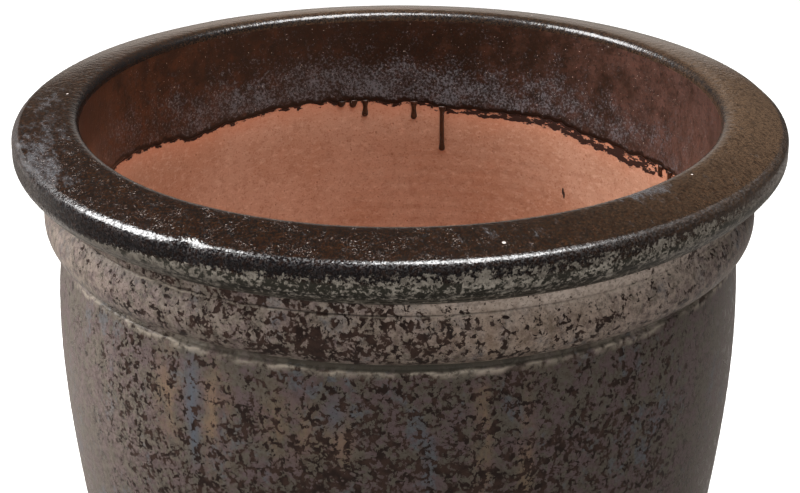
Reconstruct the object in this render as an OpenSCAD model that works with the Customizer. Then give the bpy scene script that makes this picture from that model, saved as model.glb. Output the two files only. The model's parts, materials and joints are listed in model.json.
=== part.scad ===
// Floor planter: a hand-thrown terracotta pot with a rolled rim, a collar with a groove under it,
// a tapered body and a skin of glaze. The pot stands on z = 0 with its axis along Z.
// Outlines are lists of [radius, height]. Neighbours share the outline points where they meet.

/* [Whole pot] */
// Height of the clay pot, foot to rim
pot_h = 479.2; // [420:0.1:620]
// Widest diameter of the rim, clay only, which the mouth, collar and neck follow
rim_d = 598.4; // [520:0.1:760]
// Diameter of the body where it meets the foot ring
base_d = 460; // [360:1:500]

/* [Walls] */
// Thickness of the thrown wall
wall_t = 20; // [14:0.5:26]
// Thickness of the floor
floor_t = 24; // [14:0.5:36]
// Height of the seam between the two thrown wall sections
seam_h = 214; // [150:1:300]
// Reach of the clay pressed into the inner corner
corner_coil = 16; // [8:0.5:24]

/* [Belly] */
// How far the body's curve is drawn out beyond the neck
belly_swell = 7.2; // [0:0.1:20]
// How far below the groove the swelling starts
belly_upper = 63; // [40:1:90]
// How far below the groove the taper takes over
belly_lower = 149; // [110:1:200]

/* [Rim] */
// Width of the rim, from its widest place in to the mouth
rim_w = 48.2; // [42:0.1:60]
// How far the rim stands out from the strip under it
rim_out = 28; // [18:0.5:34]
// Height of the rolled rim, from its top to its lower lip
rim_h = 45.5; // [38:0.5:60]
// Depth of the rim's widest place below its top
rim_widest = 23.8; // [18:0.2:30]
// Fall of the rim's top face from the mouth to the outer edge
rim_fall = 8; // [3:0.5:12]
// Width of the rounded outer corner of the rim
rim_shoulder = 3; // [2:0.5:8]
// Radius of the rounding at the mouth's edge
mouth_round = 5; // [3:0.5:8]

/* [Collar] */
// Height of the plain strip under the rim
strip_h = 13.3; // [8:0.1:20]
// How far the collar's curve is drawn out beyond the strip
collar_bulge = 8.8; // [4:0.1:14]
// How far the collar's lower edge stands back from the strip
collar_tuck = 1.4; // [0:0.1:4]
// How far the collar's lower edge stands out from the body
collar_step = 4.5; // [1:0.1:9]
// Height of the collar
collar_h = 35.7; // [26:0.1:50]

/* [Groove] */
// Height of the groove under the collar
groove_h = 9; // [7:0.5:14]
// Depth of the groove, measured from the body
groove_depth = 2.8; // [1.5:0.1:4]
// Radius of the rounding at the groove's lower side
groove_round = 2; // [1:0.25:3]
// Rise of the groove's sloping upper side
groove_roof = 3; // [1:0.25:4]

/* [Foot] */
// Height of the foot ring
foot_h = 12; // [6:0.5:20]
// Width of the foot ring
foot_w = 26; // [16:1:40]
// How far the foot ring stands back from the base
foot_inset = 3; // [1:0.5:8]
// Bevel along the lower edges of the foot ring
foot_bevel = 1.5; // [0.5:0.25:3]
// Diameter of the drain hole
drain_d = 30; // [16:1:50]

/* [Glaze] */
// Thickness of the glaze
glaze_t = 0.8; // [0.4:0.1:1.6]
// Bare clay between the foot ring and the lower edge of the outside glaze
bare_base = 14; // [6:1:70]
// Depth of the glaze band inside the mouth
inner_band = 82; // [60:1:100]
// Length of the longest run of glaze below the band
drip_l = 46; // [20:1:90]
// Width of a run of glaze inside
drip_w = 4.6; // [3:0.1:7]
// How far a run of glaze stands out from the wall
drip_out = 1.8; // [1:0.1:2.2]

/* [Hidden] */
// Segments of a full turn
$fn = 96;
// Segments along the body, the throat, a curve of the collar or rim, and a small arc
body_steps = 36;
throat_steps = 14;
curve_steps = 10;
arc_steps = 5;
// Two shares of a curve that lie closer than this are one
tiny = 0.0001;
// Runs of glaze: direction of each round the pot in degrees, and its share of the longest one's length
drip_angles = [22.8, 26.4, 80.9, 86.9, 97.1, 99.6, 102.1];
drip_shares = [0.3, 0.33, 1, 0.35, 0.28, 0.13, 0.11];
// Layers of a run, the upper narrower: share of its width, and shares of drip_out between which it lies
layer_shares = [[1, 0, 0.6], [0.6, 0.3, 1]];

// Radii, from the rim inwards and down
rim_r = rim_d / 2;
mouth_r = rim_r - rim_w;
strip_r = rim_r - rim_out;
collar_r = strip_r + collar_bulge;
collar_foot_r = strip_r - collar_tuck;
neck_r = collar_foot_r - collar_step;
belly_r = neck_r + belly_swell;
base_r = base_d / 2;

// Heights of the seams and edges, from the foot up
floor_z = foot_h + floor_t;
lip_z = pot_h - rim_h;
collar_z = lip_z - strip_h;
collar_foot_z = collar_z - collar_h;
neck_z = collar_foot_z - groove_h;
widest_z = pot_h - rim_widest;
throat_z = pot_h - mouth_round;
band_z = pot_h - inner_band;

// Tools for lists and curves

function reversed(v) = [for (i = [len(v) - 1:-1:0]) v[i]];
function without_first(v) = [for (i = [1:len(v) - 1]) v[i]];
function without_last(v) = [for (i = [0:len(v) - 2]) v[i]];
function moved(points, dr) = [for (p = points) [p[0] + dr, p[1]]];
function sorted(v) = len(v) < 2 ? v : let (rest = without_first(v)) concat(
    sorted([for (x = rest) if (x < v[0]) x]), [v[0]], sorted([for (x = rest) if (x >= v[0]) x])
);

// Point at share t of a cubic curve, which is a list of its start, two handles and end
function on_curve(curve, t) =
    pow(1 - t, 3) * curve[0] + 3 * t * pow(1 - t, 2) * curve[1]
    + 3 * t * t * (1 - t) * curve[2] + t * t * t * curve[3];
function whole(curve, steps) = [for (i = [0:steps]) on_curve(curve, i / steps)];

// Share at which a rising curve reaches height z, found by halving
function share_at(curve, z, low = 0, high = 1, turns = 24) =
    let (middle = (low + high) / 2)
    turns == 0 ? middle
    : on_curve(curve, middle)[1] < z ? share_at(curve, z, middle, high, turns - 1)
    : share_at(curve, z, low, middle, turns - 1);

// Even shares from 0 to 1 that also hold each of the cuts, where one piece ends on the curve
function shares(cuts, steps) = let (at = sorted(concat([0, 1], cuts))) concat(
    [for (i = [0:len(at) - 2])
        let (gap = at[i + 1] - at[i], n = ceil(gap * steps))
        if (gap > tiny) for (k = [0:n - 1]) at[i] + gap * k / n],
    [1]
);
function part_of(curve, cuts, t0, t1) =
    [for (t = cuts) if (t > t0 - tiny && t < t1 + tiny) on_curve(curve, t)];

// Points of an arc about c, from angle a0 to a1
function arc(c, r, a0, a1) =
    [for (i = [0:arc_steps]) let (a = a0 + (a1 - a0) * i / arc_steps) c + r * [cos(a), sin(a)]];

// Outline moved by t to the right of its direction, along mitred normals
function right_of(a, b) = let (d = (b - a) / norm(b - a)) [d[1], -d[0]];
function skin(points, t) = let (last = len(points) - 1) [
    for (i = [0:last])
        let (
            before = right_of(points[max(i, 1) - 1], points[max(i, 1)]),
            after = right_of(points[min(i, last - 1)], points[min(i, last - 1) + 1])
        )
        points[i] + t * (before + after) / (1 + before * after)
];

// Outlines of the clay's outside, all from the bottom up

body = [[base_r, foot_h], [belly_r, neck_z - belly_lower], [belly_r, neck_z - belly_upper], [neck_r, neck_z]];
t_bare = share_at(body, foot_h + bare_base);
t_floor = share_at(body, floor_z);
t_coil = share_at(body, floor_z + corner_coil);
t_seam = share_at(body, seam_h);
body_shares = shares([t_bare, t_floor, t_coil, t_seam], body_steps);
slab_out = part_of(body, body_shares, 0, t_floor);
lower_out = part_of(body, body_shares, t_floor, t_seam);
upper_out = part_of(body, body_shares, t_seam, 1);

// Groove, convex collar and the plain strip up to the rim's lower lip
groove_r = neck_r - groove_depth;
groove_out = concat(
    [[neck_r, neck_z]],
    arc([groove_r + groove_round, neck_z + 1.25 * groove_round], groove_round, 225, 180),
    [[groove_r, collar_foot_z - groove_roof]]
);
collar_curve = [
    [collar_foot_r, collar_foot_z],
    [collar_r, collar_foot_z + 0.2 * collar_h],
    [collar_r, collar_foot_z + 0.7 * collar_h],
    [strip_r, collar_z]
];
collar_out = concat(groove_out, whole(collar_curve, curve_steps), [[strip_r, lip_z]]);

// Rolled rim: lower lip, widest place, rounded shoulder, top face, and the rounding into the mouth
shoulder = [rim_r - rim_shoulder, pot_h - rim_fall];
shoulder_rise = shoulder[1] - widest_z;
brow = [mouth_r + mouth_round, pot_h];
face_w = shoulder[0] - brow[0];
lip_curve = [
    [strip_r, lip_z],
    [strip_r + 0.28 * (rim_r - strip_r), lip_z - 0.06 * rim_h],
    [rim_r, widest_z - 0.4 * (widest_z - lip_z)],
    [rim_r, widest_z]
];
shoulder_curve = [
    [rim_r, widest_z],
    [rim_r, widest_z + 0.55 * shoulder_rise],
    [rim_r - 0.45 * rim_shoulder, shoulder[1] - 0.1 * shoulder_rise],
    shoulder
];
face_curve = [
    shoulder,
    [shoulder[0] - face_w / 3, pot_h - rim_fall / 2],
    [brow[0] + face_w / 3, pot_h],
    brow
];
rim_face = concat(
    whole(lip_curve, curve_steps),
    without_first(whole(shoulder_curve, arc_steps)),
    without_first(whole(face_curve, curve_steps)),
    without_first(arc([brow[0], throat_z], mouth_round, 90, 180))
);

// Outlines of the inside: the body's less the wall, then the throat up to the mouth's rounding
lower_in = moved(lower_out, -wall_t);
upper_in = moved(upper_out, -wall_t);
coil_in = moved(part_of(body, body_shares, t_floor, t_coil), -wall_t);
throat_pull = (throat_z - neck_z) / 3;
throat = [
    [neck_r - wall_t, neck_z],
    [neck_r - wall_t, neck_z + throat_pull],
    [mouth_r, throat_z - throat_pull],
    [mouth_r, throat_z]
];
t_band = share_at(throat, band_z);
t_lip = share_at(throat, lip_z);
throat_shares = shares([t_band, t_lip], throat_steps);
collar_in = part_of(throat, throat_shares, 0, t_lip);
rim_in = part_of(throat, throat_shares, t_lip, 1);

// The bare inner wall up to the glaze band, its point at height z, and its stretch above that
bare_in = concat(lower_in, without_first(upper_in), without_first(part_of(throat, throat_shares, 0, t_band)));
function on_wall(z) = let (i = max([for (k = [0:len(bare_in) - 2]) if (bare_in[k][1] <= z) k]))
    bare_in[i] + (bare_in[i + 1] - bare_in[i]) * (z - bare_in[i][1]) / (bare_in[i + 1][1] - bare_in[i][1]);
function wall_from(z) = concat([on_wall(z)], [for (p = bare_in) if (p[1] > z + tiny) p]);

// The glaze follows one line: up the outside, over the rim and down into the mouth
outside_line = concat(part_of(body, body_shares, t_bare, 1), without_first(collar_out));
lip_line = without_first(rim_face);
inside_line = without_first(reversed(part_of(throat, throat_shares, t_band, 1)));
glaze_line = concat(outside_line, lip_line, inside_line);
glaze_face = skin(glaze_line, glaze_t);
lip_start = len(outside_line) - 1;
lip_end = lip_start + len(lip_line);
inside_end = lip_end + len(inside_line);

// A ring of clay between an outer and an inner outline
module ring_of(outer, inner) {
    rotate_extrude() polygon(concat(outer, reversed(inner)));
}

// The glaze between two points of its line
module glaze(first, last) {
    rotate_extrude() polygon(concat(
        [for (i = [first:last]) glaze_face[i]],
        [for (i = [last:-1:first]) glaze_line[i]]
    ));
}

module foot_ring() {
    outer = base_r - foot_inset;
    inner = outer - foot_w;
    color("peru") rotate_extrude() polygon([
        [inner + foot_bevel, 0], [outer - foot_bevel, 0], [outer, foot_bevel], [outer, foot_h],
        [inner, foot_h], [inner, foot_bevel]
    ]);
}

module base_slab() {
    color("chocolate") difference() {
        rotate_extrude() polygon(concat(slab_out, [[0, floor_z], [0, foot_h]]));
        translate([0, 0, foot_h - 1]) cylinder(h = floor_t + 2, d = drain_d);
    }
}

// Its back follows the wall, and its face is hollow, running out along the wall and the floor
module luting_coil() {
    corner = coil_in[0];
    high = coil_in[len(coil_in) - 1];
    toe = corner - [corner_coil, 0];
    face = whole([toe, (toe + corner) / 2, (high + corner) / 2, high], arc_steps);
    color("sandybrown") rotate_extrude() polygon(concat(face, reversed(without_last(coil_in))));
}

module lower_wall() {
    color("sienna") ring_of(lower_out, lower_in);
}

module upper_wall() {
    color("peru") ring_of(upper_out, upper_in);
}

module collar_band() {
    color("sandybrown") ring_of(collar_out, collar_in);
}

module rim_coil() {
    color("sienna") ring_of(without_last(rim_face), rim_in);
}

module outer_glaze() {
    color("dimgray") glaze(0, lip_start);
}

module lip_glaze() {
    color("darkslategray") glaze(lip_start, lip_end);
}

module inner_glaze() {
    color([0.25, 0.2, 0.18]) glaze(lip_end, inside_end);
}

// A run of glaze from height low up to the band, in layers that stand out of the wall
module run(low) {
    for (layer = layer_shares) {
        sunk = layer[1] * drip_out;
        out = layer[2] * drip_out;
        turn = layer[0] * drip_w / on_wall(low)[0] * 180 / PI;
        back = moved(wall_from(low + sunk), -sunk);
        front = moved(wall_from(low + out), -out);
        tip = arc([back[0][0], front[0][1]], out - sunk, 180, 270);
        rotate([0, 0, -turn / 2]) rotate_extrude(angle = turn)
            polygon(concat(back, reversed(front), without_last(without_first(tip))));
    }
}

module glaze_drips() {
    color([0.3, 0.22, 0.18]) for (i = [0:len(drip_angles) - 1])
        rotate([0, 0, drip_angles[i]]) run(band_z - drip_shares[i] * drip_l);
}

foot_ring();
base_slab();
luting_coil();
lower_wall();
upper_wall();
collar_band();
rim_coil();
outer_glaze();
lip_glaze();
inner_glaze();
glaze_drips();
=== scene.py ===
import json
import bmesh
import bpy
import numpy as np
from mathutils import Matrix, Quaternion, Vector

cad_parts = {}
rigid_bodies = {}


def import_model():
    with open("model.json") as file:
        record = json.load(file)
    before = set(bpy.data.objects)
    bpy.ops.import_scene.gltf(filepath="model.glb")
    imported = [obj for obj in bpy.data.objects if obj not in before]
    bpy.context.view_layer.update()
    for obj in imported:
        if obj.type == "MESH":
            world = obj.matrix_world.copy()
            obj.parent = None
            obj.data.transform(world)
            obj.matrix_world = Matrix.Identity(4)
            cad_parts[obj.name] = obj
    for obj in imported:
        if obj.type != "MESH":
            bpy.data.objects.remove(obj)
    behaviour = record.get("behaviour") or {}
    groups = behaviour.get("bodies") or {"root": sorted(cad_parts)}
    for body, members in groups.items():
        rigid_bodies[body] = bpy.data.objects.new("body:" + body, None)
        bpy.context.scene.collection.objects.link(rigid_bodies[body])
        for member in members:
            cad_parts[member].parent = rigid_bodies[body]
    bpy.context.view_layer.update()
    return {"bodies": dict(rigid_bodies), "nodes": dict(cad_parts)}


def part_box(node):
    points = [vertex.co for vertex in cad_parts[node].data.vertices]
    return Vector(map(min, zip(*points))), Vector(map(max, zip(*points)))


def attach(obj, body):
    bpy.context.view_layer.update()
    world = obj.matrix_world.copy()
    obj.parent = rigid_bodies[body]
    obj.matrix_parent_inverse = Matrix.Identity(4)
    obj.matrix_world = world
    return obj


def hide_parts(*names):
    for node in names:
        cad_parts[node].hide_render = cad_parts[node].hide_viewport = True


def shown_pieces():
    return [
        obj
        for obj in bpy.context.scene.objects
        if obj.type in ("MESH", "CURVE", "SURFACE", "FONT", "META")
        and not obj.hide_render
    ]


# Terracotta flower pot with a dark speckled glaze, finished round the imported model.
# Metres, Z up, the foot on z = 0 and the pot's axis along Z. Angles run from +X towards +Y.
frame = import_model()
body = list(frame["bodies"])[0]
scene = bpy.context.scene
mm = 0.001
turn = 2 * np.pi
print("frame:", len(frame["nodes"]), "solids on body", body)


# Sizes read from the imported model

def cornersOf(mesh):
    # the corners of a mesh, one to a row
    flat = np.empty(3 * len(mesh.vertices), np.float32)
    mesh.vertices.foreach_get("co", flat)
    return flat.reshape(-1, 3).astype(float)


def radiiOf(node, height=None):
    # least and greatest distance from the axis of a solid's corners, at one height where that is given
    x, y, z = cornersOf(frame["nodes"][node].data).T
    reach = np.hypot(x, y)
    if height is not None:
        reach = reach[np.abs(z - height) < 0.05 * mm]
    return reach.min(), reach.max()


bottom, top = ({node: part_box(node)[end].z for node in frame["nodes"]} for end in (0, 1))
potHeight, footTop, floorTop = top["rim_coil"], top["foot_ring"], top["base_slab"]
seamHeight, neckHeight, lipHeight = top["lower_wall"], top["upper_wall"], top["collar_band"]
bareHeight, bandHeight = bottom["outer_glaze"], bottom["inner_glaze"]
mouthRadius, rimRadius = radiiOf("rim_coil")
neckInside, neckRadius = radiiOf("upper_wall", neckHeight)
baseRadius = radiiOf("base_slab", footTop)[1]
stripRadius = radiiOf("collar_band", lipHeight)[1]
drainRadius = radiiOf("base_slab", floorTop)[0]
wall = neckRadius - neckInside
glazeThickness = radiiOf("lip_glaze")[1] - rimRadius
glazeSunk = 0.1 * mm        # how far the hidden back of a glaze lies in the clay

# How the outline bends between those sizes
outline = {
    "bellySwell": 7.2 * mm,     # pull of the body's curve beyond the neck
    "bellyPulls": (149 * mm, 63 * mm),      # depths below the neck where it acts
    "grooveHeight": 9 * mm,
    "grooveDepth": 2.8 * mm,
    "grooveRound": 2 * mm,
    "grooveSeat": 1.25,         # height of that round's centre, in radii
    "grooveRoof": 3 * mm,
    "collarHeight": 35.7 * mm,
    "collarBulge": 8.8 * mm,    # pull of the collar's curve beyond the strip
    "collarPulls": (0.2, 0.7),  # shares of its height where it acts
    "collarTuck": 1.4 * mm,     # how far its lower edge stands back
    "lipPulls": (0.28, 0.06, 0.4),      # shares: outwards and down from the strip, down from the widest place
    "rimWidest": 23.8 * mm,     # depth of the widest place below the top
    "rimRound": 7.3 * mm,       # radius of the rim's outer edge
    "rimRoundDepth": 14.3 * mm, # depth of that round's centre
    "rimTurn": 68,              # degrees it turns through before the top face begins
    "faceSlope": 0.33,          # of the top face where it begins
    "mouthRound": 5 * mm,
    "softening": 0.9 * mm,      # how far a wet sponge has rounded each corner
    "mouthSoftening": 3.0 * mm, # the same at the mouth's edge
    "mouthReach": 7 * mm,
    "throatSoftening": 12 * mm, # the same where the throat runs into the wall
    "throatReach": 30 * mm,
    "step": 0.25 * mm,          # spacing of the points on the line
    # thin lines pressed in by a wooden tool: mark, distance past it, depth, half width
    "scores": [("strip", 1.0 * mm, 0.55 * mm, 0.7 * mm), ("lip", 29.5 * mm, 0.45 * mm, 0.8 * mm),
               ("lip", 20.5 * mm, 0.5 * mm, 0.9 * mm)],
}


def bump(distance, width):
    # a bell curve, 1 in the middle
    return np.exp(-0.5 * (distance / width) ** 2)


def eased(x, low, high):
    # 0 below low, 1 above high, with a smooth rise
    t = np.clip((x - low) / (high - low), 0, 1)
    return t * t * (3 - 2 * t)


def rounded(distance, reach):
    # a quarter of an ellipse: 0 at an edge, 1 from the reach on
    return np.sqrt(np.clip(1 - (1 - distance / reach).clip(0) ** 2, 0, 1))


def bezier(start, pull, push, end, count=120):
    # (1-t)^3 start + 3t(1-t)^2 pull + 3t^2(1-t) push + t^3 end, for t from 0 to 1
    t = np.linspace(0, 1, count)[:, None]
    ends = (1 - t) ** 3 * np.array(start) + t ** 3 * np.array(end)
    return ends + 3 * t * (1 - t) ** 2 * np.array(pull) + 3 * t * t * (1 - t) * np.array(push)


def arc(centre, radius, first, last, count=30):
    # centre + radius (cos a, sin a), for a from first to last in degrees
    a = np.radians(np.linspace(first, last, count))
    return np.array(centre) + radius * np.c_[np.cos(a), np.sin(a)]


def drawOutline(o):
    # (distance from the axis, height) up the outside, over the rim and down the inside to the floor
    low, high = o["bellyPulls"]
    belly = neckRadius + o["bellySwell"]
    outside = [[baseRadius, footTop], [belly, neckHeight - low], [belly, neckHeight - high],
               [neckRadius, neckHeight]]
    grooveRadius, grooveRound = neckRadius - o["grooveDepth"], o["grooveRound"]
    grooveCentre = [grooveRadius + grooveRound, neckHeight + o["grooveSeat"] * grooveRound]
    collarFoot = neckHeight + o["grooveHeight"]
    collarTop = collarFoot + o["collarHeight"]
    bulge = stripRadius + o["collarBulge"]
    pulls = [[bulge, collarFoot + share * o["collarHeight"]] for share in o["collarPulls"]]
    widest = potHeight - o["rimWidest"]
    outward, down, upward = o["lipPulls"]
    lip = [[stripRadius, lipHeight],
           [stripRadius + outward * (rimRadius - stripRadius), lipHeight - down * (potHeight - lipHeight)],
           [rimRadius, widest - upward * (widest - lipHeight)], [rimRadius, widest]]
    edge = arc([rimRadius - o["rimRound"], potHeight - o["rimRoundDepth"]], o["rimRound"], 0, o["rimTurn"])
    brow = [mouthRadius + o["mouthRound"], potHeight]
    third = (edge[-1][0] - brow[0]) / 3
    throatTop = potHeight - o["mouthRound"]
    pull = (throatTop - neckHeight) / 3
    parts = {
        "body": bezier(*outside, 400),
        "groove": np.vstack([arc(grooveCentre, grooveRound, 225, 180),
                             [[grooveRadius, collarFoot - o["grooveRoof"]]]]),
        "collar": bezier([stripRadius - o["collarTuck"], collarFoot], *pulls, [stripRadius, collarTop]),
        "strip": np.array([[stripRadius, collarTop + 0.1 * mm]]),
        "lip": bezier(*lip),
        "shoulder": np.vstack([lip[-1:], edge]),
        "face": bezier(edge[-1], [edge[-1][0] - third, edge[-1][1] + o["faceSlope"] * third],
                       [brow[0] + third, potHeight], brow),
        "mouth": arc([brow[0], throatTop], o["mouthRound"], 90, 180),
        "throat": bezier([mouthRadius, throatTop], [mouthRadius, throatTop - pull],
                         [neckInside, neckHeight + pull], [neckInside, neckHeight]),
        "inside": bezier(*outside, 400)[::-1] - [wall, 0],
    }
    marks, points, length = {}, [], 0
    for name, part in parts.items():
        if points:
            length += np.hypot(*(part[0] - points[-1][-1]))
        marks[name] = length
        length += np.hypot(*np.diff(part, axis=0).T).sum()
        points.append(part)
    points = np.vstack(points)
    along = np.r_[0, np.cumsum(np.hypot(*np.diff(points, axis=0).T))]
    return along, points, marks


along, points, marks = drawOutline(outline)
linePlaces = np.arange(0, along[-1], outline["step"])


def softened(values, width):
    # values on the line's places, averaged with a bell curve that runs on straight past both ends
    reach = int(4 * width / outline["step"])
    bell = bump(np.arange(-reach, reach + 1) * outline["step"], width)
    steps = np.arange(1, reach + 1)
    before = values[0] - (values[1] - values[0]) * steps[::-1]
    after = values[-1] + (values[-1] - values[-2]) * steps
    return np.convolve(np.r_[before, values, after], bell / bell.sum(), "valid")


def drawLine(o):
    # the softened line, softer at the mouth's edge, with the scores cut in along its normal
    brow = bump(linePlaces - marks["mouth"] - 4 * mm, o["mouthReach"])
    throat = bump(linePlaces - marks["inside"], o["throatReach"])
    raw = [np.interp(linePlaces, along, points[:, k]) for k in (0, 1)]
    even = 1 - brow - throat
    radius, height = (softened(values, o["softening"]) * even + softened(values, o["mouthSoftening"]) * brow
                      + softened(values, o["throatSoftening"]) * throat for values in raw)
    slopes = np.gradient(radius, o["step"]), np.gradient(height, o["step"])
    size = np.hypot(*slopes)
    cut = sum(depth * bump(linePlaces - marks[name] - past, half) for name, past, depth, half in o["scores"])
    return radius - cut * slopes[1] / size, height + cut * slopes[0] / size


lineRadius, lineHeight = drawLine(outline)
slopeRadius, slopeHeight = (np.gradient(values, outline["step"]) for values in (lineRadius, lineHeight))
slopeSize = np.hypot(slopeRadius, slopeHeight)


def onLine(place, lift=0):
    # the line's point at a place along it, lifted off the clay along the outward normal
    radius, height, normalRadius, normalHeight = (np.interp(place, linePlaces, values) for values in (
        lineRadius, lineHeight, slopeHeight / slopeSize, -slopeRadius / slopeSize))
    return radius + lift * normalRadius, height + lift * normalHeight


def placeAt(height, inside=False):
    # where the line passes a height on its way up the outside, or down the inside
    chosen = linePlaces > marks["mouth"] if inside else linePlaces < marks["groove"]
    order = -1 if inside else 1
    return np.interp(height, lineHeight[chosen][::order], linePlaces[chosen][::order])


print("outline: %.0f mm long, widest radius %.1f mm" % (along[-1] / mm, lineRadius.max() / mm))

# What the potter's hands left: angles in degrees, sizes in metres
handWork = {
    "lean": 1.6 * mm,                       # the rim leans this far to +X
    "leanFrom": (0.66, 0.95),               # shares of the height where lean and swells begin and are full
    # angle, half width, outwards
    "swells": [(48, 22, 2.4 * mm), (138, 22, 2.6 * mm), (172, 40, 0.3 * mm), (210, 14, -1.8 * mm),
               (290, 30, 0.5 * mm)],
    "sags": [(233, 30, 2.6 * mm), (98, 45, -0.6 * mm), (318, 30, -0.5 * mm)],       # the same, downwards
    "sagFrom": (62 * mm, 30 * mm),          # depths below the rim where the sags begin and are full
    # waves a turn, height, start
    "ripples": [(3, 0.30 * mm, 0.4), (5, 0.22 * mm, 2.2), (9, 0.10 * mm, 4.1)],
    "rippleFrom": (0.1, 0.9),               # shares of the height where they begin and are full
    "throwingPitch": 13 * mm,               # rise between two finger rings
    "throwingDepth": 0.09 * mm,
    "throwingFrom": (0.05, 0.2),            # shares of the height where the rings begin and are full
    "throwingEnds": 30 * mm,                # depth below the neck where they begin to fade
    # dents in the rim's outer edge: angle, half width, depth
    "dents": [(241.3, 1.3, 2.3 * mm), (246.5, 2.2, 0.9 * mm), (12, 3, 0.6 * mm), (131, 4, 0.7 * mm)],
    "dentPlace": (12 * mm, 5 * mm, 6 * mm), # depth below the top, half width, half height
}


def apart(angle, centre):
    # signed angle from a centre given in degrees, within half a turn
    return (angle - np.radians(centre) + np.pi) % turn - np.pi


def near(angle, centre, wide):
    # a bell curve round the pot, its centre and half width in degrees
    return bump(apart(angle, centre), np.radians(wide))


def around(angle, chosen):
    # sum of soft stretches round the pot: angle, half width, strength
    return sum(strength * near(angle, centre, wide) for centre, wide, strength in chosen)


def ovals(angle, across, chosen):
    # sum of soft ovals: angle, half width, place across the stretch and half width there in mm, strength
    return sum(strength * near(angle, centre, wide) * bump(across - middle, tall)
               for centre, wide, middle, tall, strength in chosen)


def handMade(radius, angle, height):
    # the round pot's point, leaned, swollen, sagged, dented and ribbed the way the thrown pot is
    w = handWork
    fade, rippled, thrown = (eased(height, *(share * potHeight for share in w[name]))
                             for name in ("leanFrom", "rippleFrom", "throwingFrom"))
    sagging = eased(height, *(potHeight - depth for depth in w["sagFrom"]))
    waves = sum(size * np.sin(count * angle + start) for count, size, start in w["ripples"])
    out = around(angle, w["swells"]) * fade + waves * rippled
    overhang = np.clip((radius - mouthRadius) / (rimRadius - mouthRadius), -0.2, 1.1)
    down = around(angle, w["sags"]) * sagging * (0.35 + 0.65 * overhang)
    # finger rings rise in a spiral round the wall and fade under the collar and at the foot
    ribs = np.sin(turn * height / w["throwingPitch"] - angle + 0.7 * np.sin(2 * angle + 9 * height))
    thrown = thrown * (1 - eased(height, neckHeight - w["throwingEnds"], neckHeight))
    out = out + w["throwingDepth"] * ribs * thrown * (0.6 + 0.4 * np.sin(3 * angle + 31 * height))
    depth, wide, tall = w["dentPlace"]
    edge = bump(radius - rimRadius, wide) * bump(height - potHeight + depth, tall)
    dented = around(angle, w["dents"]) * edge
    radius, height = radius + out - dented, height - down - 0.5 * dented
    return np.stack([radius * np.cos(angle) + w["lean"] * fade, radius * np.sin(angle), height], axis=-1)


# Making a piece

def newObject(name, data):
    made = bpy.data.objects.new(name, data)
    scene.collection.objects.link(made)
    return made


def surface(name, grid, sharpRows=(), tubes=0):
    # a grid of points (rows, columns, 3) as a mesh whose last column meets its first, and its rows too, or as
    # so many open tubes that share the rows out; the edges along the sharp rows aren't smoothed over
    rows, columns = grid.shape[:2]
    number = np.arange(rows * columns).reshape(max(tubes, 1), -1, columns)
    lower, upper = (number[:, :-1], number[:, 1:]) if tubes else (number, np.roll(number, -1, axis=1))
    corners = [lower, np.roll(lower, -1, axis=2), np.roll(upper, -1, axis=2), upper]
    quads = np.stack(corners, axis=-1).reshape(-1, 4)
    mesh = bpy.data.meshes.new(name)
    mesh.vertices.add(rows * columns)
    mesh.vertices.foreach_set("co", grid.reshape(-1).astype(np.float32))
    mesh.loops.add(4 * len(quads))
    mesh.loops.foreach_set("vertex_index", quads.reshape(-1).astype(np.int32))
    mesh.polygons.add(len(quads))
    mesh.polygons.foreach_set("loop_start", np.arange(0, 4 * len(quads), 4, dtype=np.int32))
    mesh.polygons.foreach_set("use_smooth", np.ones(len(quads), bool))
    mesh.update(calc_edges=True)
    if sharpRows:
        edges = np.empty(2 * len(mesh.edges), np.int32)
        mesh.edges.foreach_get("vertices", edges)
        first, second = (edges.reshape(-1, 2) // columns).T
        layer = mesh.attributes.new("sharp_edge", "BOOLEAN", "EDGE")
        layer.data.foreach_set("value", (first == second) & np.isin(first, sharpRows))
    return newObject(name, mesh)


def paint(piece, **values):
    # numbers at the piece's corners for its material, from 0 to 1; only the film's cover goes past those
    for name, numbers in values.items():
        if name != "cover":
            numbers = np.clip(numbers, 0, 1)
        layer = piece.data.attributes.new(name, "FLOAT", "POINT")
        layer.data.foreach_set("value", np.ascontiguousarray(numbers, np.float32).reshape(-1))


def finished(piece, material, slot, *nodes):
    # the piece takes its material and stands for its solids
    piece.data.materials.append(material)
    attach(piece, body)
    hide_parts(*nodes)
    print("piece %s: %d triangles" % (piece.name, 2 * len(piece.data.polygons)))


def stretch(first, last, spacing):
    # evenly spaced places from first to last
    return np.linspace(first, last, max(2, int(round(abs(last - first) / spacing)) + 1))


def roundAngles(columns):
    return np.linspace(0, turn, columns, endpoint=False)


def skin(front, thinned, every):
    # a glaze's rows: along its face, thinned where it ends, and back under it on one row out of so many
    back = front[::-every]
    lift = np.concatenate([glazeThickness * thinned, np.full(back.shape, -glazeSunk)])
    return np.concatenate([front, back]), lift


def wander(angle, lowest, highest, seed):
    # smooth noise round the pot, so that no edge made by hand repeats: a sum of sines with random starts
    dice = np.random.default_rng(seed)
    counts = np.arange(lowest, highest)
    sizes = dice.normal(size=len(counts)) / counts ** 0.5
    starts = dice.uniform(0, turn, len(counts))
    waves = (sizes[:, None] * np.sin(counts[:, None] * angle + starts[:, None])).sum(axis=0)
    return waves / np.sqrt(0.5 * (sizes ** 2).sum())


# Materials: the helpers add nodes to the tree on the bench, and give back the socket that holds the result
bench = {}


def put(kind, sockets, out=0, **settings):
    made = bench["tree"].nodes.new("ShaderNode" + kind)
    for name, value in settings.items():
        setattr(made, name, value)
    for key, value in sockets.items():
        if isinstance(value, bpy.types.NodeSocket):
            bench["tree"].links.new(value, made.inputs[key])
        else:
            made.inputs[key].default_value = value
    return made.outputs[out] if made.outputs else made


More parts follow.
